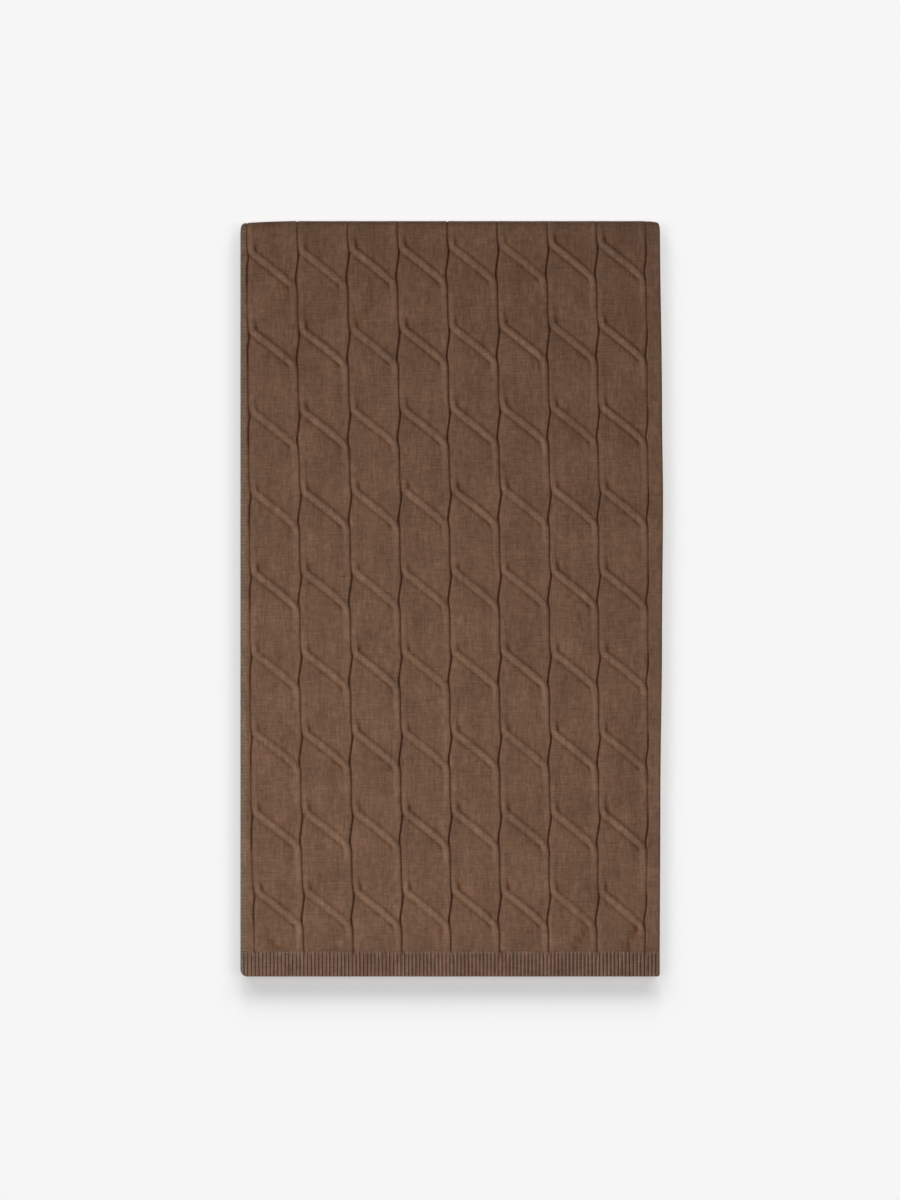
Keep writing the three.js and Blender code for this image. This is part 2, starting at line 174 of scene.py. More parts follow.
# The ribbed hem: the purl lines run on into it, and each rib's groove fades towards the seam
HEM = 15.0
RIB_PITCH = 2.22
RIB_HEIGHT = 2.3
RIB_DEPTH = 0.8
RIB_ROUND = 0.8
RIB_ROOM = 0.1
# Painted shade in the rib grooves, for each millimetre of their depth
RIB_PAINTED_SHADE = 1.75
RIB_SHARES = [0, 0.07, 0.16, 0.3, 0.5, 0.7, 0.84, 0.93]
HEM_ROWS = [0, 0.2, 0.5, 0.9, 1.5, 2.4, 5.0, 8.0, 10.5, 12.0, 13.2, 14.0, 14.6, 15.0]
HEM_SEAM = {"depth": 0.35, "reach": 2.4}
HEM_PURL = {"depth": 0.8, "half_width": 0.9, "reach": 3.6, "aside": 0.2}
RIB_START = {"least": 1.0, "most": 3.2, "share": 0.25, "draws": 200, "seed": 5}
HEM_INSIDE = [3.0, 5.0]


def smooth(t):
    t = np.clip(t, 0, 1)
    return t * t * (3 - 2 * t)


def table(rows, key, place, value, ease=smooth):
    """Reads a value from a table, eased between its rows."""
    keys = np.array(rows[key], dtype=float)
    values = np.array(rows[value], dtype=float)
    place = np.clip(np.asarray(place, dtype=float), keys[0], keys[-1])
    i = np.clip(np.searchsorted(keys, place, side="right") - 1, 0, len(keys) - 2)
    t = (place - keys[i]) / (keys[i + 1] - keys[i])
    return values[i] + (values[i + 1] - values[i]) * ease(t)


def straight(t):
    return t


def width_at(y, value):
    return LEFT_X + table(WIDTHS, "down", HALF_LENGTH - np.asarray(y, dtype=float), value)


def right_x(y):
    return width_at(y, "right_edge")


def corner_back(corner, inward):
    """How far a rounded and dipping corner draws an end back."""
    inward = np.maximum(inward, 0)
    short = np.maximum(0, corner["radius"] - inward)
    dip = np.maximum(0, 1 - inward / corner["reach"])
    return corner["radius"] - np.sqrt(corner["radius"] ** 2 - short**2) + corner["dip"] * dip**2


def end_back(corners, x, right):
    return corner_back(corners["left"], x - LEFT_X) + corner_back(corners["right"], right - x)


def fold_y(x):
    return HALF_LENGTH - end_back(FOLD_CORNERS, x, right_x(HALF_LENGTH))


def hem_y(x):
    return -HALF_LENGTH + end_back(HEM_CORNERS, x, right_x(-HALF_LENGTH))


def turn_y(x):
    return fold_y(x) - TURN_OUTSIDE


def crossing_y(column, count):
    """Where a crossing starts, counted up from the hem."""
    share = count / (CROSSINGS - 1)
    stretch = STRETCH * (column - UNSTRETCHED_COLUMN) / (COLUMNS - 1)
    turns = (count - ROW_WAVE["from_row"]) / ROW_WAVE["rows"]
    slip = ROW_WAVE["slip"] * math.sin(2 * math.pi * turns)
    slip += HANGING["slip"] * max(0, column - HANGING["after_column"])
    return -HALF_LENGTH + FIRST_CROSSING_UP + count * PITCH + stretch * share**2 - slip


def crossing_starts(column):
    return np.array([crossing_y(column, count) for count in COUNTS])


def purl_place(index, y, value):
    """A value of the sways table, at the share of the pitch below the last crossing."""
    y = np.minimum(np.asarray(y, dtype=float), HALF_LENGTH)
    starts = crossing_starts(min(index, COLUMNS - 1))
    above = np.clip(np.searchsorted(starts, y, side="left"), 1, len(starts) - 1)
    below = (starts[above] - y) / (starts[above] - starts[above - 1])
    return table(SWAYS, "below", below, value, straight)


def purl_pinch(index, y):
    """How deep a purl line is at each y, as a share of the usual depth."""
    deeper = DEEPEST["more"] - DEEPEST["less_aside"] * (index - DEEPEST["line"]) ** 2
    return purl_place(index, y, "pinch") + deeper


def purl_sway(index, y):
    """How far a purl line is pulled aside at each y. No strand ends at the first line, which
    hardly sways to the left, and none starts at the last, which hardly sways to the right."""
    sway = purl_place(index, y, "sway")
    to_left = OUTER_SWAY if index == 0 else 1
    to_right = OUTER_SWAY if index == COLUMNS else 1
    return np.where(sway < 0, sway * to_left, sway * to_right)


def purl_line(index, y):
    """A purl line's middle x and its sway, at each y."""
    y = np.minimum(np.asarray(y, dtype=float), HALF_LENGTH)
    share = index / COLUMNS
    even = width_at(y, "first_purl") * (1 - share) + width_at(y, "last_purl") * share
    return even + PURL_SHIFTS[index], purl_sway(index, y)


def purl_x(index, y):
    x, sway = purl_line(index, y)
    return x + sway


def column_x(column, across, y):
    left, left_sway = purl_line(column, y)
    right, right_sway = purl_line(column + 1, y)
    sway = left_sway * (1 - across) ** SWAY_FADE + right_sway * across**SWAY_FADE
    return left + (right - left) * across + sway


def on_top_layer(x, run, height):
    """Points of the top layer: run goes up the cloth and round the far fold."""
    start = turn_y(x)
    angle = np.clip((run - start) / TURN_OUTSIDE, 0, math.pi / 2)
    radius = TURN_INSIDE + height
    y = np.where(run > start, start + radius * np.sin(angle), run)
    z = TURN_Z + radius * np.cos(angle)
    return np.stack([x, y, z], axis=-1)


def settles(x, run, left=0.0):
    """What share of a relief is left at each run, as the cloth goes round the far fold."""
    angle = np.clip((run - turn_y(x)) / TURN_OUTSIDE, 0, math.pi / 2)
    return 1 - (1 - left) * smooth(angle / (math.pi / 2))


# The relief of the cables

def strand_path():
    """The strand's table, smoothed into many short steps by a Catmull-Rom curve."""
    names = ["across", "below", "proud", "over", "under"]
    points = np.array([[row[name] for name in names] for row in STRAND])
    padded = np.vstack([2 * points[0] - points[1], points, 2 * points[-1] - points[-2]])
    t = np.linspace(0, 1, STRAND_STEPS, endpoint=False)[:, None]
    parts = []
    for a, b, c, d in zip(padded, padded[1:], padded[2:], padded[3:]):
        parts.append(0.5 * (2 * b + (c - a) * t + (2 * a - 5 * b + 4 * c - d) * t**2
                            + (3 * b - a - 3 * c + d) * t**3))
    path = np.vstack(parts + [points[-1:]])
    path[:, 2:] = np.maximum(path[:, 2:], 0)
    return path


PATH = strand_path()


def strand_fall(across):
    """How far down the strand lies at a distance across the column."""
    leaning = PATH[np.concatenate([[True], np.diff(PATH[:, 0]) > LEANING["least_step"]])]
    leaning = leaning[leaning[:, 0] > LEANING["from"]]
    return np.interp(across, leaning[:, 0], leaning[:, 1])


def strand_relief(across, below, strength):
    """The height that one crossing adds at each point."""
    start, end = PATH[:-1], PATH[1:]
    step = end[:, :2] - start[:, :2]
    to = np.stack([across, below], axis=-1)[:, None, :] - start[None, :, :2]
    t = np.clip((to * step).sum(-1) / (step**2).sum(-1), 0, 1)
    off = to - t[..., None] * step
    distance = np.sqrt((off**2).sum(-1))
    nearest = distance.argmin(axis=1)
    rows = np.arange(len(across))
    d = distance[rows, nearest]
    t = t[rows, nearest][:, None]
    values = start[nearest, 2:] * (1 - t) + end[nearest, 2:] * t
    near_step, near_off = step[nearest], off[rows, nearest]
    over = near_step[:, 0] * near_off[:, 1] - near_step[:, 1] * near_off[:, 0] < 0
    ridge = 1 - smooth((d - STRAND_FLAT) / (STRAND_FOOT - STRAND_FLAT))
    far_width = np.where(over, SINK_WIDTH["far_over"], SINK_WIDTH["far_under"])
    width = np.where(d < SINK_AT, SINK_WIDTH["near"], far_width)
    sink = np.exp(-(((d - SINK_AT) / width) ** 2))
    depth = np.where(over, values[:, 1] * OVER_DEPTH, values[:, 2] * UNDER_DEPTH)
    return strength * (values[:, 0] * STRAND_PROUD * ridge - depth * sink)


rng = np.random.default_rng(CABLE_SEED)
STRENGTHS = 1 + CROSSING_VARIES * rng.uniform(-1, 1, (COLUMNS, len(COUNTS)))
SHIFTS = rng.uniform(-CROSSING_SHIFT, CROSSING_SHIFT, (COLUMNS, len(COUNTS)))


def cable_relief(column, across, run):
    """The height of a column's surface against the plain body."""
    total = np.zeros(len(run))
    starts = crossing_starts(column) + SHIFTS[column]
    for start, strength in zip(starts, STRENGTHS[column]):
        below = start - run
        near = (below > -STRAND_REACH["above"]) & (below < STRAND_REACH["below"])
        if near.any():
            total[near] += strand_relief(across[near], below[near], strength)
    return total


def purl_relief(distance, pinch=1.0):
    """The height beside a purl line, by the distance from it."""
    groove = (1 - smooth(distance / PURL_HALF_WIDTH)) ** PURL_SHARPNESS
    roll = np.exp(-(((distance - ROLL["at"]) / ROLL["width"]) ** 2))
    return ROLL["height"] * roll - PURL_DEPTH * pinch * groove


# Soft creases in the cloth, placed as the photo shows them: from and to are across from the
# left edge and down from the far fold. At its two ends a crease has half its depth
CREASE_FADE = 3.0
CREASES = [
    {"from": (78, 34), "to": (70, 62), "bend": 3.0, "width": 2.2, "depth": 0.5},
    {"from": (46, 40), "to": (40, 62), "bend": 2.0, "width": 3.0, "depth": 0.25},
    {"from": (24, 40), "to": (19, 60), "bend": 1.0, "width": 3.4, "depth": 0.2},
    {"from": (111, 44), "to": (106, 64), "bend": 1.0, "width": 3.0, "depth": 0.2},
    {"from": (15.5, 424), "to": (29, 434.5), "bend": -3.0, "width": 1.6, "depth": 0.7},
    {"from": (48, 434), "to": (62, 434.5), "bend": 0.0, "width": 1.3, "depth": 0.3},
    {"from": (86, 433), "to": (94, 431.5), "bend": 0.0, "width": 1.4, "depth": 0.3},
    {"from": (105, 432.5), "to": (118, 433), "bend": 0.5, "width": 1.4, "depth": 0.25},
    {"from": (119.5, 421), "to": (119, 431), "bend": 0.0, "width": 1.2, "depth": 0.3},
    {"from": (138, 433), "to": (150, 433.5), "bend": 0.0, "width": 1.3, "depth": 0.25},
    {"from": (165, 433.5), "to": (180, 434), "bend": 0.0, "width": 1.4, "depth": 0.3},
    {"from": (206.5, 422), "to": (199, 437), "bend": -1.0, "width": 1.5, "depth": 0.85},
    {"from": (236.5, 420), "to": (230, 437), "bend": -1.2, "width": 1.4, "depth": 0.95},
    {"from": (165, 394), "to": (172, 398), "bend": 0.0, "width": 1.6, "depth": 0.3},
]

# Slow waves, each bent aside by a slower one
WAVE_BEND = {"apart": 1.7, "by": 0.8, "x": 0.031, "y": 0.023}
WAVES = [
    {"size": 61.0, "turn": 0.3, "height": 0.12},
    {"size": 43.0, "turn": 1.2, "height": 0.11},
    {"size": 29.0, "turn": 2.1, "height": 0.09},
    {"size": 21.0, "turn": 0.8, "height": 0.09},
    {"size": 14.0, "turn": 2.7, "height": 0.07},
    {"size": 9.0, "turn": 0.2, "height": 0.035},
]


def arch(t):
    """0 at both ends and 1 in the middle."""
    return 4 * t * (1 - t)


def crease_relief(x, y):
    """Troughs along bent lines."""
    total = np.zeros(len(x))
    for crease in CREASES:
        a = np.array([LEFT_X + crease["from"][0], HALF_LENGTH - crease["from"][1]])
        b = np.array([LEFT_X + crease["to"][0], HALF_LENGTH - crease["to"][1]])
        along = b - a
        length = np.hypot(*along)
        along /= length
        t = ((x - a[0]) * along[0] + (y - a[1]) * along[1]) / length
        aside = (x - a[0]) * -along[1] + (y - a[1]) * along[0]
        aside -= crease["bend"] * arch(t)
        fade = smooth(t * CREASE_FADE + 0.5) * smooth((1 - t) * CREASE_FADE + 0.5)
        total -= crease["depth"] * fade * np.exp(-((aside / crease["width"]) ** 2))
    return total


def wave_relief(x, y):
    total = np.zeros(len(x))
    for n, wave in enumerate(WAVES):
        along = x * math.cos(wave["turn"]) + y * math.sin(wave["turn"])
        phase = 2 * math.pi / wave["size"] * along + WAVE_BEND["apart"] * n
        bend = WAVE_BEND["by"] * np.sin(WAVE_BEND["x"] * x - WAVE_BEND["y"] * y + n)
        total += wave["height"] * np.sin(phase + bend)
    return total


# Mesh making

class Shell:
    """A closed mesh in the making, from lines of points that are filled strip by strip."""

    def __init__(self):
        self.points = []
        self.faces = []
        self.flat_faces = []
        self.knit = []
        self.relief = []
        self.count = 0

    def line(self, points, at, knit, relief=None):
        """Adds a line of points and returns its ids with their places along it."""
        ids = range(self.count, self.count + len(points))
        self.count += len(points)
        self.points.append(points)
        self.knit.append(knit)
        # relief: the height that sets the painted shade and painted highlight of these points
        self.relief.append(np.zeros(len(points)) if relief is None else relief)
        return list(zip(ids, np.asarray(at).tolist()))

    def fill(self, a, b, flat=False):
        """Fills the strip between two lines. Seen from outside, b is to the right of a."""
        i = j = 0
        first_face = len(self.faces)
        while i < len(a) - 1 or j < len(b) - 1:
            next_a = a[i][1] + a[i + 1][1] if i < len(a) - 1 else math.inf
            next_b = b[j][1] + b[j + 1][1] if j < len(b) - 1 else math.inf
            if next_a <= next_b:
                self.faces.append((a[i][0], b[j][0], a[i + 1][0]))
                i += 1
            else:
                self.faces.append((a[i][0], b[j][0], b[j + 1][0]))
                j += 1
        if flat:
            self.flat_faces += range(first_face, len(self.faces))

    def fill_between(self, lines):
        for a, b in zip(lines, lines[1:]):
            self.fill(a, b)

    def end_line(self, lines, end):
        """A line across the first (0) or last (-1) points of other lines, with x as the place."""
        points = np.vstack(self.points)
        return [(line[end][0], points[line[end][0], 0]) for line in lines]

    def close_wall(self, outer, inner, flat_end=None):
        """Closes a wall from its inner lines and the ends of its filled outer lines, which go
        from left to right. One of the ends, 0 or -1, may be shaded flat."""
        self.fill_between(inner[::-1])
        self.fill(self.end_line(outer, 0), self.end_line(inner, 0), flat=flat_end == 0)
        self.fill(self.end_line(inner, -1), self.end_line(outer, -1), flat=flat_end == -1)
        self.fill(inner[0], outer[0])
        self.fill(outer[-1], inner[-1])

    def build(self, name, body, material, stands_for):
        mesh = bpy.data.meshes.new(name)
        mesh.from_pydata((np.vstack(self.points) * MM).tolist(), [], self.faces)
        mesh.attributes.new("knit", "FLOAT_VECTOR", "POINT")
        mesh.attributes["knit"].data.foreach_set("vector", np.vstack(self.knit).ravel())
        # The relief attribute drives the painted shade in hollows and the painted highlight on proud yarn
        mesh.attributes.new("relief", "FLOAT", "POINT")
        mesh.attributes["relief"].data.foreach_set("value", np.concatenate(self.relief))
        is_smooth = np.ones(len(mesh.polygons), dtype=bool)
        is_smooth[self.flat_faces] = False
        mesh.polygons.foreach_set("use_smooth", is_smooth)
        mesh.materials.append(material)
        mesh.validate()
        mesh.update()
        piece = bpy.data.objects.new(name, mesh)
        bpy.context.scene.collection.objects.link(piece)
        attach(piece, body)
        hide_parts(*stands_for)
        return piece


def knit_points(x, run):
    """Where each point is in the knitting, in millimetres across and along the cloth."""
    return np.stack([np.broadcast_to(x - LEFT_X, run.shape), run, np.zeros(len(run))], axis=-1)


PANEL_LOW = -HALF_LENGTH + HEM
TURN_SHARES = np.array([0, 0.14, 0.28, 0.42, 0.56, 0.7, 0.85, 1.0])


def runs_between(rows, turn):
    """Rows of a line from the hem seam to the turn, and round it."""
    inside = rows[(rows > PANEL_LOW + ROW_ROOM["seam"]) & (rows < turn - ROW_ROOM["turn"])]
    return np.concatenate([[PANEL_LOW], inside, turn + TURN_SHARES * TURN_LENGTH])


def turn_of(x_at):
    """Where a line of the panel starts to turn over the far fold."""
    return float(turn_y(x_at(HALF_LENGTH)))


def seam_relief(run):
    """The panel sinks a little into the seam above the hem."""
    return -HEM_SEAM["depth"] * (1 - smooth((run - PANEL_LOW) / HEM_SEAM["reach"]))


def no_relief(run):
    return np.zeros(len(run))


def panel_line(shell, x_at, rows, base=CLOTH, groove=no_relief, cables=no_relief, painted_highlight=0.0):
    """One line of the panel: its plain height, the purl groove and the cables on it at each
    run, and how much painted highlight its yarn gets beyond what its height gives."""
    runs = runs_between(np.sort(rows), turn_of(x_at))
    x = x_at(np.minimum(runs, HALF_LENGTH))
    left = settles(x, runs)
    raised = cables(runs) + crease_relief(x, runs)
    sunk = groove(runs)
    height = base + (raised + wave_relief(x, runs)) * left + seam_relief(runs)
    height += sunk * settles(x, runs, PURL_ROUND_FOLD)
    # Painted shade in the grooves, creases and sinks beside strands, and painted highlight on proud strands
    painted_light_height = sunk + (raised + painted_highlight) * left
    return shell.line(on_top_layer(x, runs, height), runs, knit_points(x, runs), painted_light_height)


def purl_panel_line(shell, index):
    rows = np.arange(PANEL_LOW, HALF_LENGTH, PURL_ROW)

    def groove(run):
        return purl_relief(np.zeros(len(run)), purl_pinch(index, run))

    return panel_line(shell, lambda y: purl_x(index, y), rows, groove=groove)


def cable_lines(shell, column):
    """The lines of one cable, filled along the fall of its strand."""
    places = NEAR_LINES + MIDDLE_LINES + [COLUMN_WIDTH - u for u in reversed(NEAR_LINES)]
    starts = crossing_starts(column)
    below = np.array(NEAR_ROWS + FAR_ROWS)
    lines, fallen = [], []
    for u in places:
        fall = float(strand_fall(u))
        rows = (starts[:, None] - fall - below[None, :]).ravel()
        beside = min(u, COLUMN_WIDTH - u)
        purl = column if u < COLUMN_WIDTH / 2 else column + 1

        def x_at(y, share=u / COLUMN_WIDTH):
            return column_x(column, share, y)

        def groove(run, beside=beside, purl=purl):
            return purl_relief(np.full(len(run), beside), purl_pinch(purl, run))

        def cables(run, u=u):
            return cable_relief(column, np.full(len(run), u), run)

        line = panel_line(shell, x_at, rows, groove=groove, cables=cables)
        lines.append(line)
        fallen.append([(i, at + fall) for i, at in line])
    shell.fill_between(fallen)
    return lines


# A border's lines lie this far from its purl line, and draw together where the border has
# less room than this. Its yarn gets a little painted highlight, least at its edge
BORDER_NEAR = [1.9, 1.3, 0.9, 0.6, 0.35, 0.15]
BORDER_ROOM = 4.7
BORDER_PAINTED_HIGHLIGHT = {"inside": 0.3, "by_height": 0.35}


def border_lines(shell, side):
    """The plain border at one side, from its edge to its purl line."""
    rows = np.arange(PANEL_LOW, HALF_LENGTH, BORDER_ROW)
    index = 0 if side > 0 else COLUMNS

    def edge(y):
        return np.full(np.shape(y), LEFT_X) if side > 0 else right_x(y)

    def drawn(y):
        return np.minimum(1, np.abs(purl_x(index, y) - edge(y)) / BORDER_ROOM)

    lines = []
    for inward, height in zip(EDGE_UPPER["inward"], EDGE_UPPER["height"]):
        def from_edge(y, inward=inward):
            return edge(y) + side * inward * drawn(y)

        painted_highlight = BORDER_PAINTED_HIGHLIGHT["inside"] + BORDER_PAINTED_HIGHLIGHT["by_height"] * (height - EDGE_UPPER["height"][-1])
        lines.append(panel_line(shell, from_edge, rows, base=height, painted_highlight=painted_highlight))
    for near in BORDER_NEAR:
        def from_purl(y, near=near):
            return purl_x(index, y) - side * near * drawn(y)

        def groove(run, near=near):
            y = np.minimum(run, HALF_LENGTH)
            return purl_relief(near * drawn(y), purl_pinch(index, y))

        lines.append(panel_line(shell, from_purl, rows, groove=groove))
    return lines if side > 0 else lines[::-1]


# Lines of the panel's plain inside, as shares of the way across it, and its rows up to the turn
INSIDE_SHARES = [0.006, 0.02, 0.05, 0.12, 0.5, 0.95, 0.99]
INSIDE_ROWS = 40


def inside_lines(shell):
    """The plain inside of the panel, with the under side of its edges."""
    under = list(zip(EDGE_UNDER["inward"], EDGE_UNDER["height"]))
    flat_from = EDGE_UNDER["inward"][-1]
    lines = []

    def add(x_at, height):
        turn = turn_of(x_at)
        up = np.linspace(PANEL_LOW, turn, INSIDE_ROWS)
        runs = np.concatenate([up, turn + TURN_SHARES[1:] * TURN_LENGTH])
        x = x_at(np.minimum(runs, HALF_LENGTH))
        points = on_top_layer(x, runs, np.full(len(runs), height))
        lines.append(shell.line(points, runs, knit_points(x, runs)))

    for inward, height in under:
        add(lambda y, inward=inward: np.full(np.shape(y), LEFT_X + inward), height)
    for share in INSIDE_SHARES:
        add(lambda y, s=share: LEFT_X + flat_from + (right_x(y) - LEFT_X - 2 * flat_from) * s, 0.0)
    for inward, height in reversed(under):
        add(lambda y, inward=inward: right_x(y) - inward, height)
    return lines


def make_panel(material):
    shell = Shell()
    outer = border_lines(shell, 1)
    strips = list(zip(outer, outer[1:]))
    purl = purl_panel_line(shell, 0)
    strips.append((outer[-1], purl))
    outer.append(purl)
    for column in range(COLUMNS):
        lines = cable_lines(shell, column)
        purl = purl_panel_line(shell, column + 1)
        strips += [(outer[-1], lines[0]), (lines[-1], purl)]
        outer += lines + [purl]
    border = border_lines(shell, -1)
    strips += [(outer[-1], border[0])] + list(zip(border, border[1:]))
    outer += border
    for a, b in strips:
        shell.fill(a, b)
    shell.close_wall(outer, inside_lines(shell), flat_end=-1)
    return shell.build("cable_face", "root", material, ["cable_panel"])


def rib_lines(right):
    """Places across a hem: x, how deep the rib's groove is there, and which rib it is."""
    ribs = round((right - LEFT_X) / RIB_PITCH)
    pitch = (right - LEFT_X) / ribs
    places = []
    for rib in range(ribs):
        for share in RIB_SHARES:
            depth = RIB_DEPTH * (1 - math.sin(math.pi * share) ** RIB_ROUND)
            places.append((LEFT_X + (rib + share) * pitch, depth, rib if share > 0.5 else rib - 1))
    inner = [place for place in places if LEFT_X + RIB_ROOM < place[0] < right - RIB_ROOM]
    return [(LEFT_X, 0.0, 0)] + inner + [(right, 0.0, ribs)]


# Where the purl lines run on into the hem
PURLS_AT_HEM = np.array([float(purl_x(index, PANEL_LOW)) for index in range(COLUMNS + 1)])


def edge_share(inward):
    """The height of the cloth near its edge, as a share of its full height."""
    return np.interp(inward, EDGE_UPPER["inward"], EDGE_UPPER["height"]) / EDGE_UPPER["height"][-1]


def rib_groove(x, depth, start, from_seam):
    """How deep a hem is grooved along one line. A rib's groove starts at its own distance
    from the seam, and the panel's purl lines run on past the seam."""
    begun = smooth(from_seam / start)
    groove = depth * (RIB_START["share"] + (1 - RIB_START["share"]) * begun)
    distance = np.abs(PURLS_AT_HEM + HEM_PURL["aside"] - x).min()
    purl = HEM_PURL["depth"] * (1 - smooth(distance / HEM_PURL["half_width"]))
    return np.maximum(groove, purl * (1 - smooth(from_seam / HEM_PURL["reach"])))


def make_hem(material, name, stands_for, low_z, back):
    """A ribbed end of the scarf, at a height, drawn back from the hem's own place."""
    shell = Shell()
    right = float(right_x(-HALF_LENGTH))
    seam = PANEL_LOW + back
    rng = np.random.default_rng(RIB_START["seed"])
    starts = rng.uniform(RIB_START["least"], RIB_START["most"], RIB_START["draws"])

    def hem_line(x, runs, height, relief=None):
        points = np.stack([np.full(len(runs), x), runs, low_z + height], axis=-1)
        return shell.line(points, runs, knit_points(x, runs), relief)

    ends = edge_share(HEM_ROWS)
    outer = []
    for x, depth, rib in rib_lines(right):
        end = float(hem_y(x)) + back
        runs = end + np.array(HEM_ROWS) * (seam - end) / HEM
        groove = rib_groove(x, depth, starts[rib], seam - runs)
        share = np.minimum(edge_share(min(x - LEFT_X, right - x)), ends)
        sunk = HEM_SEAM["depth"] * (1 - smooth((seam - runs) / HEM_SEAM["reach"]))
        # The relief attribute holds the painted shade in the rib grooves
        outer.append(hem_line(x, runs, (RIB_HEIGHT - groove) * share - sunk, -RIB_PAINTED_SHADE * groove))
    shell.fill_between(outer)

    under = list(zip(EDGE_UNDER["inward"], EDGE_UNDER["height"])) + [(inward, 0.0) for inward in HEM_INSIDE]
    sides = [(LEFT_X + inward, low) for inward, low in under]
    sides += [(right - inward, low) for inward, low in reversed(under)]
    inner = []
    for x, low in sides:
        end = float(hem_y(x)) + back
        runs = np.array([end + inward for inward in EDGE_UNDER["inward"]] + [seam])
        inner.append(hem_line(x, runs, np.array([max(low, EDGE_UNDER["height"][0]), low, low])))
    shell.close_wall(outer, inner)
    return shell.build(name, "root", material, stands_for)


# The hidden layers: one strip of cloth that goes on round the far fold and back and forth. Its
# edges lie in from the panel's, by a little more or less along each layer
LAYER_EDGES = [
    {"left": 0.9, "left_wave": 0.5, "right": 0.9, "right_wave": 0.7, "waves": 1.3, "phase": 0.4},
    {"left": 0.9, "left_wave": 0.2, "right": 0.9, "right_wave": 0.3, "waves": 2.1, "phase": 2.2},
    {"left": 0.9, "left_wave": 0.6, "right": 0.9, "right_wave": 0.1, "waves": 1.7, "phase": 4.0},
]
LAYER_THICK = 2.3
FLAT_STEPS = 28
FOLD_STEPS = 9
FOLD_SLOT = 0.1
INNER_FOLD_OUT = 2.05
UNDER_HEM_BACK = 1.5
NEAR_FOLD_Y = -HALF_LENGTH + HIDDEN_LAYER


def layer_edge(layer, y, side):
    row = LAYER_EDGES[layer]
    wave = (1 + np.sin(math.pi * row["waves"] * y / HALF_LENGTH + row["phase"])) / 2
    if side > 0:
        return LEFT_X + row["left"] + row["left_wave"] * wave
    return right_x(y) - row["right"] - row["right_wave"] * wave


def strip_profile():
    """The strip's cross-section along its length: for each step its outer and inner side,
    as distances from the fold's turning place, and the layer that it belongs to."""
    rows = []
    r, gap, slot = HIDDEN_LAYER, LAYER_GAP, FOLD_SLOT
    shares = np.linspace(0, 1, FLAT_STEPS)[1:-1]
    half_turn = np.linspace(0, math.pi, FOLD_STEPS)
    for a in np.linspace(0, math.pi / 2, FOLD_STEPS):
        rows.append(("far", TURN_OUTSIDE * math.cos(a), TURN_Z - TURN_Z * math.sin(a),
                     TURN_INSIDE * math.cos(a), TURN_Z - (TURN_Z - LAYER_THICK) * math.sin(a), 0))
    for t in shares:
        rows.append(("flat", t, 0.0, t, LAYER_THICK, 0))
    for a in half_turn:
        rows.append(("near", r * math.sin(a), r - r * math.cos(a),
                     slot * math.sin(a), r - gap * math.cos(a), 0 if a <= math.pi / 2 else 1))
    for t in shares[::-1]:
        rows.append(("flat", t, 2 * r, t, r + gap, 1))
    for a in half_turn:
        rows.append(("inner", slot * math.sin(a), 2 * r - gap * math.cos(a),
                     INNER_FOLD_OUT * math.sin(a), 2 * r - r * math.cos(a), 1 if a <= math.pi / 2 else 2))
    for t in [*shares, 1.0]:
        rows.append(("end", t, 2 * r + gap, t, 3 * r, 2))
    return rows


# Lines of the hidden layers across each column, how far their inner side rises towards their
# outer side at each of the edge's lines, and the least that is left between the two
LAYER_NEAR_LINES = [0.2, 0.42, 0.66, 0.95, 1.35, 1.85, 2.4, 3.6, 7.2]
LAYER_LINES = LAYER_NEAR_LINES + [COLUMN_WIDTH / 2]
LAYER_LINES += [COLUMN_WIDTH - u for u in reversed(LAYER_NEAR_LINES)]
LAYER_RISES = [0.45, 0.28, 0.1, 0.02, 0.0, 0.0]
LEAST_WALL = 0.01


def across_layers(y, left, right):
    """The x of every line of the hidden layers, how far each one is from the nearest purl
    line, and which purl line that is."""
    purls = np.array([float(purl_x(index, y)) for index in range(COLUMNS + 1)])
    drawn_left = min(1.0, (purls[0] - left) / BORDER_ROOM)
    drawn_right = min(1.0, (right - purls[-1]) / BORDER_ROOM)
    x = [left + drawn_left * inward for inward in EDGE_UPPER["inward"]]
    x += [purls[0] - drawn_left * near for near in BORDER_NEAR]
    for a, b in zip(purls, purls[1:]):
        x += [a] + [a + (b - a) * u / COLUMN_WIDTH for u in LAYER_LINES]
    x += [purls[-1]] + [purls[-1] + drawn_right * near for near in reversed(BORDER_NEAR)]
    x += [right - drawn_right * inward for inward in reversed(EDGE_UPPER["inward"])]
    x = np.array(x)
    distance = np.abs(x[:, None] - purls)
    return x, distance.min(axis=1), distance.argmin(axis=1)


def layer_row(kind, y_outer, y_inner, layer, below):
    """One row of the hidden layers' lines: x, the y of both sides, and the purl grooves."""
    y = {"far": HALF_LENGTH, "inner": HALF_LENGTH, "near": NEAR_FOLD_Y}.get(kind)
    if y is None:
        y = HALF_LENGTH - y_outer * 2 * HALF_LENGTH
    left, right = float(layer_edge(layer, y, 1)), float(layer_edge(layer, y, -1))
    left = LEFT_X + (left - LEFT_X) * below
    right = float(right_x(y)) + (right - float(right_x(y))) * below
    x, distance, purl = across_layers(y, left, right)
    turn = turn_y(x)
    if kind in ("far", "inner"):
        outer, inner = turn + y_outer, turn + y_inner
    elif kind == "near":
        outer, inner = np.full(len(x), NEAR_FOLD_Y - y_outer), np.full(len(x), NEAR_FOLD_Y - y_inner)
    else:
        low_y = NEAR_FOLD_Y if kind == "flat" else PANEL_LOW + UNDER_HEM_BACK
        outer = inner = turn + (low_y - turn) * y_outer
    pinches = np.array([float(purl_pinch(index, HALF_LENGTH)) for index in range(COLUMNS + 1)])
    groove = purl_relief(distance, pinches[purl] + (1 - pinches[purl]) * below)
    return x, outer, inner, groove


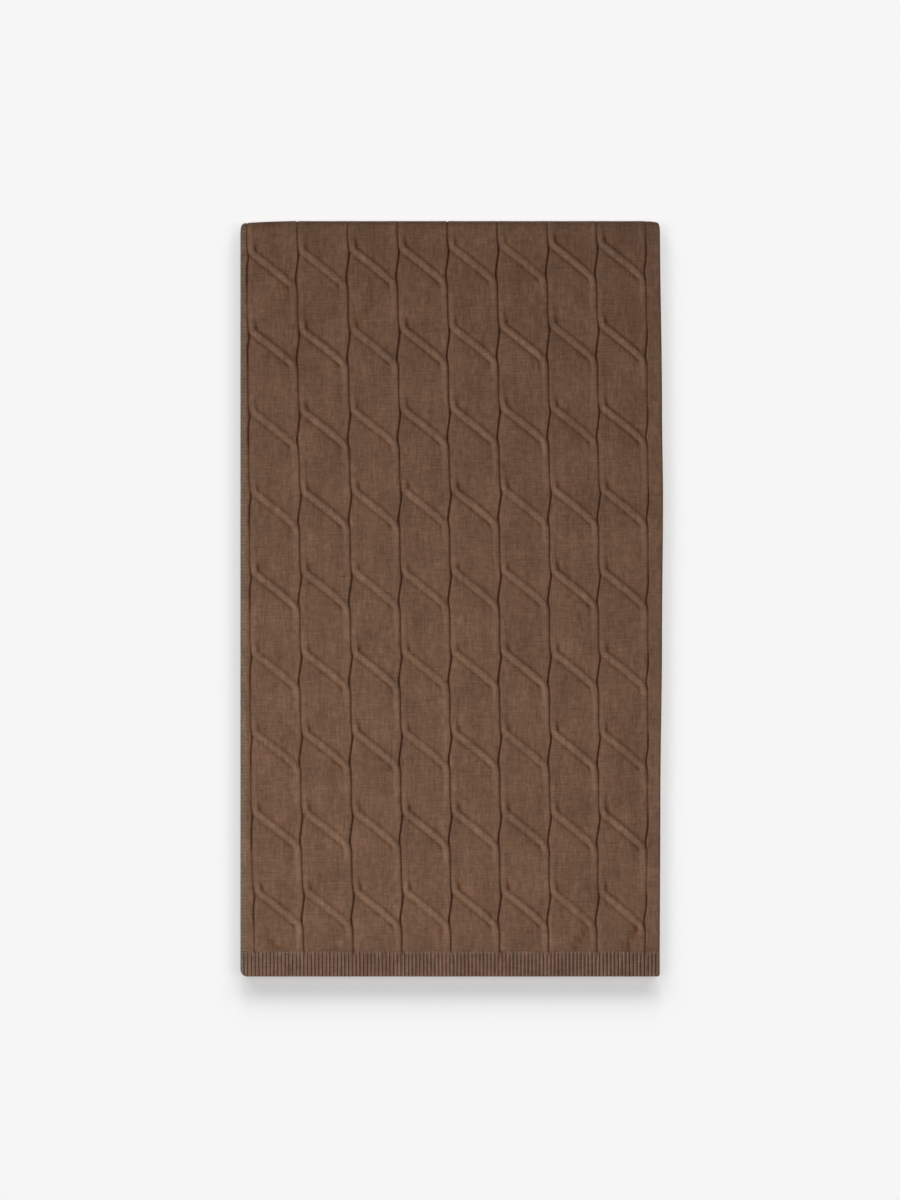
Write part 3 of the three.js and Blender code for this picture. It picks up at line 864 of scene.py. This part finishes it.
def layer_points():
    """The hidden layers' lines, row by row: the points of both sides, the depth of painted shade
    in the purl grooves there, and how far along the strip they are."""
    outer, inner, painted_light_height, plain = [], [], [], []
    for kind, y_outer, z_outer, y_inner, z_inner, layer in strip_profile():
        below = float(smooth((TURN_Z - z_outer) / TURN_Z)) if kind == "far" else 1.0
        x, y_out, y_in, groove = layer_row(kind, y_outer, y_inner, layer, below)
        middle = len(x) - 2 * EDGE_POINTS
        heights = np.array(EDGE_UPPER["height"] + [CLOTH] * middle + EDGE_UPPER["height"][::-1])
        rises = np.array(LAYER_RISES + [0.0] * middle + LAYER_RISES[::-1])
        a = np.stack([x, y_out, np.full(len(x), z_outer)], axis=-1)
        b = np.stack([x, y_in, np.full(len(x), z_inner)], axis=-1)
        share = PURL_ROUND_FOLD + (1 - PURL_ROUND_FOLD) * below
        sunk = np.minimum(groove, 0) * share + np.maximum(groove, 0) * PURL_ROUND_FOLD * (1 - below)
        if kind not in ("far", "near"):
            groove, sunk = np.zeros(len(x)), np.zeros(len(x))
        reach = np.maximum((heights + sunk) / CLOTH, rises + LEAST_WALL)
        plain.append(a)
        outer.append(b + (a - b) * reach[:, None])
        inner.append(b + (a - b) * rises[:, None])
        painted_light_height.append(groove)
    steps = np.linalg.norm(np.diff(np.array(plain)[:, :, 1:], axis=0), axis=-1)
    along = np.vstack([np.zeros(steps.shape[1]), np.cumsum(steps, axis=0)])
    return np.array(outer), np.array(inner), np.array(painted_light_height), along


def make_layers(material):
    """The three hidden layers as one folded strip with rounded edges."""
    shell = Shell()
    outer, inner, painted_light_height, along = layer_points()
    at = np.arange(len(outer), dtype=float)
    outer_lines, inner_lines = [], []
    for n in range(outer.shape[1]):
        x = outer[:, n, 0]
        knit = knit_points(x, float(turn_y(x[0])) + TURN_LENGTH + along[:, n])
        outer_lines.append(shell.line(outer[:, n], at, knit, painted_light_height[:, n]))
        inner_lines.append(shell.line(inner[:, n], at, knit))
    shell.fill_between(outer_lines)
    shell.close_wall(outer_lines, inner_lines, flat_end=0)
    return shell.build("lower_layers", "root", material, ["folded_layers"])


# The yarn

class Nodes:
    """Short calls for a material's node tree."""

    def __init__(self, material):
        self.tree = material.node_tree
        self.tree.nodes.clear()

    def add(self, kind, inputs, **settings):
        """A node with its settings, whose inputs are constants or other nodes' outputs."""
        node = self.tree.nodes.new(kind)
        for name, value in settings.items():
            setattr(node, name, value)
        for name, value in inputs.items():
            if isinstance(value, bpy.types.NodeSocket):
                self.tree.links.new(value, node.inputs[name])
            else:
                node.inputs[name].default_value = value
        return node

    def math(self, operation, a, b=0.0, c=0.0):
        return self.add("ShaderNodeMath", {0: a, 1: b, 2: c}, operation=operation).outputs[0]

    def vector(self, operation, a, b=(0.0, 0.0, 0.0), c=(0.0, 0.0, 0.0)):
        return self.add("ShaderNodeVectorMath", {0: a, 1: b, 2: c}, operation=operation).outputs[0]


# The stitches are Vs: how far their legs lean, and how much each loop stands out from its leg
WALE = 1.11
COURSE = 0.86
STITCH = {"lean": 1.5, "loop": 0.6}

# Noise, with its scale in turns a millimetre: the stitches' wander, in stitches, and the fuzz
WANDER = {"scale": 0.35, "detail": 2.0, "amount": 0.5}
FUZZ = {"scale": 2.2, "detail": 4.0, "amount": 0.6}
BUMP = {"strength": 0.7, "distance": 0.35}

# The yarn's mottles, and its streaks along the columns and the rows of stitches
DRAWN_OUT = {"down_columns": (1.0, 0.16, 1.0), "along_rows": (0.14, 1.0, 1.0)}
MOTTLES = [
    {"scale": 0.045, "detail": 3.0, "drawn": None, "amount": 0.5},
    {"scale": 0.16, "detail": 3.0, "drawn": "down_columns", "amount": 0.5},
    {"scale": 0.28, "detail": 3.0, "drawn": None, "amount": 0.55},
    {"scale": 0.8, "detail": 4.0, "drawn": None, "amount": 0.5},
    {"scale": 0.75, "detail": 2.0, "drawn": "down_columns", "amount": 0.75},
    {"scale": 0.8, "detail": 2.0, "drawn": "along_rows", "amount": 0.5},
]
STITCH_TONE = 0.9

# The painted highlight in red, green and blue for each millimetre that the yarn stands proud,
# the painted shade, darker and warmer, in its hollows, how the selvedge differs, and the yarn's surface
PAINTED_HIGHLIGHT_TONE = (0.283, 0.369, 0.457)
PAINTED_SHADE_TONE = (0.44, 0.76, 1.15)
PAINTED_SHADE_POWER = 1.4
SELVEDGE = {"from": 2.6, "to": 3.9, "tint": (-0.08, 0.08, 0.16)}
YARN = {
    "Roughness": 0.92, "Specular IOR Level": 0.12,
    "Sheen Weight": 0.12, "Sheen Roughness": 0.5, "Sheen Tint": (0.72, 0.5, 0.38, 1),
}


def make_knit(name, color, wale, course, stitch_bump):
    """Fine knitting: rows of small V stitches, soft fuzz, and a slightly mottled yarn."""
    material = bpy.data.materials.new(name)
    material.use_nodes = True
    n = Nodes(material)
    knit = n.add("ShaderNodeAttribute", {}, attribute_name="knit").outputs["Vector"]
    # The relief attribute sets the painted shade and the painted highlight below
    relief = n.add("ShaderNodeAttribute", {}, attribute_name="relief").outputs["Fac"]
    split = n.add("ShaderNodeSeparateXYZ", {"Vector": knit})
    vectors = {name: n.vector("MULTIPLY", knit, stretch) for name, stretch in DRAWN_OUT.items()}

    def noise(row):
        vector = vectors.get(row.get("drawn"), knit)
        inputs = {"Vector": vector, "Scale": row["scale"], "Detail": row["detail"]}
        return n.add("ShaderNodeTexNoise", inputs).outputs["Fac"]

    def wave(value):
        return n.math("SINE", n.math("MULTIPLY", value, 2 * math.pi))

    # Each stitch is a V: its two legs lean in towards the middle of its column
    shift = n.math("MULTIPLY_ADD", noise(WANDER), WANDER["amount"], -WANDER["amount"] / 2)
    column = n.math("ADD", n.math("DIVIDE", split.outputs["X"], wale), shift)
    aside = n.math("ABSOLUTE", n.math("SUBTRACT", n.math("FRACT", column), 0.5))
    along = n.math("ADD", n.math("DIVIDE", split.outputs["Y"], course), shift)
    loop = n.math("MULTIPLY_ADD", wave(n.math("MULTIPLY_ADD", aside, STITCH["lean"], along)), 0.5, 0.5)
    stitch = n.math("MULTIPLY_ADD", loop, STITCH["loop"], 1 - STITCH["loop"])
    stitch = n.math("MULTIPLY", wave(aside), stitch)

    # The selvedge at the left is knitted in short bars, and looks a little greyer
    selvedge = n.add("ShaderNodeMapRange", {
        "Value": split.outputs["X"], "From Min": SELVEDGE["to"], "From Max": SELVEDGE["from"],
    }, interpolation_type="SMOOTHSTEP").outputs["Result"]
    bars = n.math("MULTIPLY_ADD", wave(along), 0.5, n.math("SUBTRACT", 0.5, stitch))
    stitch = n.math("MULTIPLY_ADD", bars, selvedge, stitch)
    fuzz = n.math("MULTIPLY", noise(FUZZ), FUZZ["amount"])
    bump = n.add("ShaderNodeBump", {
        "Strength": BUMP["strength"], "Distance": BUMP["distance"] * MM,
        "Height": n.math("MULTIPLY_ADD", stitch, stitch_bump, fuzz)})

    # The yarn is mottled, and each stitch shades itself a little
    tone = 1.0
    for field, amount in [(noise(row), row["amount"]) for row in MOTTLES] + [(stitch, STITCH_TONE)]:
        tone = n.math("MULTIPLY", tone, n.math("MULTIPLY_ADD", field, amount, 1 - amount / 2))

    # Painted highlight, lighter and greyer, where the yarn stands proud, and painted shade, darker and
    # warmer, in its hollows
    proud = n.vector("MULTIPLY_ADD", n.math("MAXIMUM", relief, 0.0), PAINTED_HIGHLIGHT_TONE, (1.0, 1.0, 1.0))
    # sunk here is the depth of the painted shade in the hollows
    sunk = n.math("POWER", n.math("MAXIMUM", n.math("MULTIPLY", relief, -1.0), 0.0), PAINTED_SHADE_POWER)
    red, green, blue = (n.math("EXPONENT", n.math("MULTIPLY", sunk, -share)) for share in PAINTED_SHADE_TONE)
    painted_shade = n.add("ShaderNodeCombineXYZ", {"X": red, "Y": green, "Z": blue}).outputs["Vector"]
    greyer = n.vector("MULTIPLY_ADD", selvedge, SELVEDGE["tint"], (1.0, 1.0, 1.0))
    tinted = n.vector("MULTIPLY", n.vector("MULTIPLY", painted_shade, proud), greyer)
    tinted = n.vector("MULTIPLY", n.vector("MULTIPLY", tinted, color), tone)
    shader = n.add("ShaderNodeBsdfPrincipled", {
        "Base Color": tinted, "Normal": bump.outputs["Normal"], **YARN})
    n.add("ShaderNodeOutputMaterial", {"Surface": shader.outputs["BSDF"]})
    return material


CABLE_COLOR = (0.178, 0.0972, 0.059)
RIB_COLOR = (0.183, 0.117, 0.09)
CABLE_STITCH_BUMP = 1.0
RIB_STITCH_BUMP = 0.8

cable_knit = make_knit("cable_knit", CABLE_COLOR, WALE, COURSE, CABLE_STITCH_BUMP)
rib_knit = make_knit("rib_knit", RIB_COLOR, RIB_PITCH, COURSE, RIB_STITCH_BUMP)

panel = make_panel(cable_knit)
hem = make_hem(rib_knit, "hem_ribs", ["rib_hem"], INSIDE_Z, 0.0)
layers = make_layers(cable_knit)
under_hem = make_hem(rib_knit, "under_hem_ribs", ["folded_layers"], UNDER_HEM_Z, UNDER_HEM_BACK)


# Stage, lights and camera

# How far the floor reaches and where it lies under the scarf, and how far away the suns are
# set, in metres
FLOOR = {"reach": 12.0, "z": -0.0003, "tone": 0.9, "roughness": 0.9}
SUN_AWAY = 2.0


def make_floor():
    material = bpy.data.materials.new("pale_floor")
    material.use_nodes = True
    n = Nodes(material)
    shader = n.add("ShaderNodeBsdfPrincipled", {
        "Base Color": (FLOOR["tone"], FLOOR["tone"], FLOOR["tone"], 1),
        "Roughness": FLOOR["roughness"], "Specular IOR Level": 0.0})
    n.add("ShaderNodeOutputMaterial", {"Surface": shader.outputs["BSDF"]})
    mesh = bpy.data.meshes.new("floor")
    r, z = FLOOR["reach"], FLOOR["z"]
    mesh.from_pydata([(-r, -r, z), (r, -r, z), (r, r, z), (-r, r, z)], [], [(0, 1, 2, 3)])
    mesh.materials.append(material)
    floor = bpy.data.objects.new("floor", mesh)
    bpy.context.scene.collection.objects.link(floor)
    return floor


def only_lights(light, things):
    group = bpy.data.collections.new("lit_" + light.name)
    for thing in things:
        group.objects.link(thing)
    light.light_linking.receiver_collection = group


def point_at(thing, target):
    direction = Vector(target) - thing.location
    thing.rotation_euler = direction.to_track_quat("-Z", "Y").to_euler()


def add_light(data, place, aim, things):
    light = bpy.data.objects.new(data.name, data)
    light.location = place
    bpy.context.scene.collection.objects.link(light)
    point_at(light, aim)
    only_lights(light, things)
    return light


def add_sun(row, things):
    """A sun that gives its share of the floor's light."""
    a, e = math.radians(row["azimuth"]), math.radians(row["elevation"])
    data = bpy.data.lights.new(row["name"], "SUN")
    data.energy = FLOOR_LIGHT * row["share"] / math.sin(e)
    data.angle = math.radians(row["spread"])
    place = Vector((math.cos(a) * math.cos(e), math.sin(a) * math.cos(e), math.sin(e))) * SUN_AWAY
    add_light(data, place, (0, 0, 0), things)


def add_area(row, things):
    data = bpy.data.lights.new(row["name"], "AREA")
    data.energy = row["power"]
    data.shape = "SQUARE"
    data.size = row["size"]
    add_light(data, row["place"], row["aim"], things).visible_camera = False


# The floor's light: how much of it comes from where, with the azimuth counted from +X towards
# +Y, and how soft it is
FLOOR_LIGHT = 3.13
FLOOR_LIGHTS = [
    {"name": "from_above", "share": 0.41, "azimuth": 90, "elevation": 89.9, "spread": 3},
    {"name": "from_right", "share": 0.11, "azimuth": 0, "elevation": 53, "spread": 34},
    {"name": "from_left", "share": 0.11, "azimuth": 180, "elevation": 53, "spread": 34},
    {"name": "from_far", "share": 0.17, "azimuth": 90, "elevation": 25.5, "spread": 23},
    {"name": "from_far_right", "share": 0.1, "azimuth": 58, "elevation": 29, "spread": 26},
    {"name": "from_far_left", "share": 0.1, "azimuth": 122, "elevation": 29, "spread": 26},
]

# The cloth's own lights, with their places in metres
CLOTH_LIGHTS = [
    {"name": "key", "power": 25.0, "size": 0.8,
     "place": (-1.25, -1.3, 1.55), "aim": (0, 0, 0)},
    {"name": "soft_top", "power": 4.3, "size": 0.5,
     "place": (-0.13, -0.17, 0.72), "aim": (-0.052, -0.034, 0)},
    {"name": "fill_far", "power": 10.0, "size": 0.8,
     "place": (0.3, 1.9, 0.36), "aim": (0.12, 0.38, 0)},
]
WORLD_TONE = 0.92
WORLD_STRENGTH = 0.03

floor = make_floor()
for row in FLOOR_LIGHTS:
    add_sun(row, [floor])
for row in CLOTH_LIGHTS:
    add_area(row, [panel, hem, layers, under_hem])

world = bpy.data.worlds.new("studio")
world.use_nodes = True
background = world.node_tree.nodes["Background"]
background.inputs["Color"].default_value = (WORLD_TONE, WORLD_TONE, WORLD_TONE, 1)
background.inputs["Strength"].default_value = WORLD_STRENGTH
bpy.context.scene.world = world
bpy.context.scene.view_settings.view_transform = "Standard"

# The camera looks straight down, and frames the scarf as the photo does
PICTURE_HEIGHT = 1200
MM_PER_PIXEL = 0.5954
CENTRE_LEFT = 0.89
CENTRE_BELOW = 0.77
CAMERA_UP = 6.0
SENSOR = 36.0
TOP_Z = INSIDE_Z + CLOTH

camera_data = bpy.data.cameras.new("camera")
camera_data.sensor_fit = "VERTICAL"
camera_data.sensor_height = SENSOR
camera_data.lens = SENSOR * CAMERA_UP / (PICTURE_HEIGHT * MM_PER_PIXEL * MM)
camera = bpy.data.objects.new("camera", camera_data)
camera.location = (-CENTRE_LEFT * MM, -CENTRE_BELOW * MM, CAMERA_UP + TOP_Z * MM)
bpy.context.scene.collection.objects.link(camera)
bpy.context.scene.camera = camera
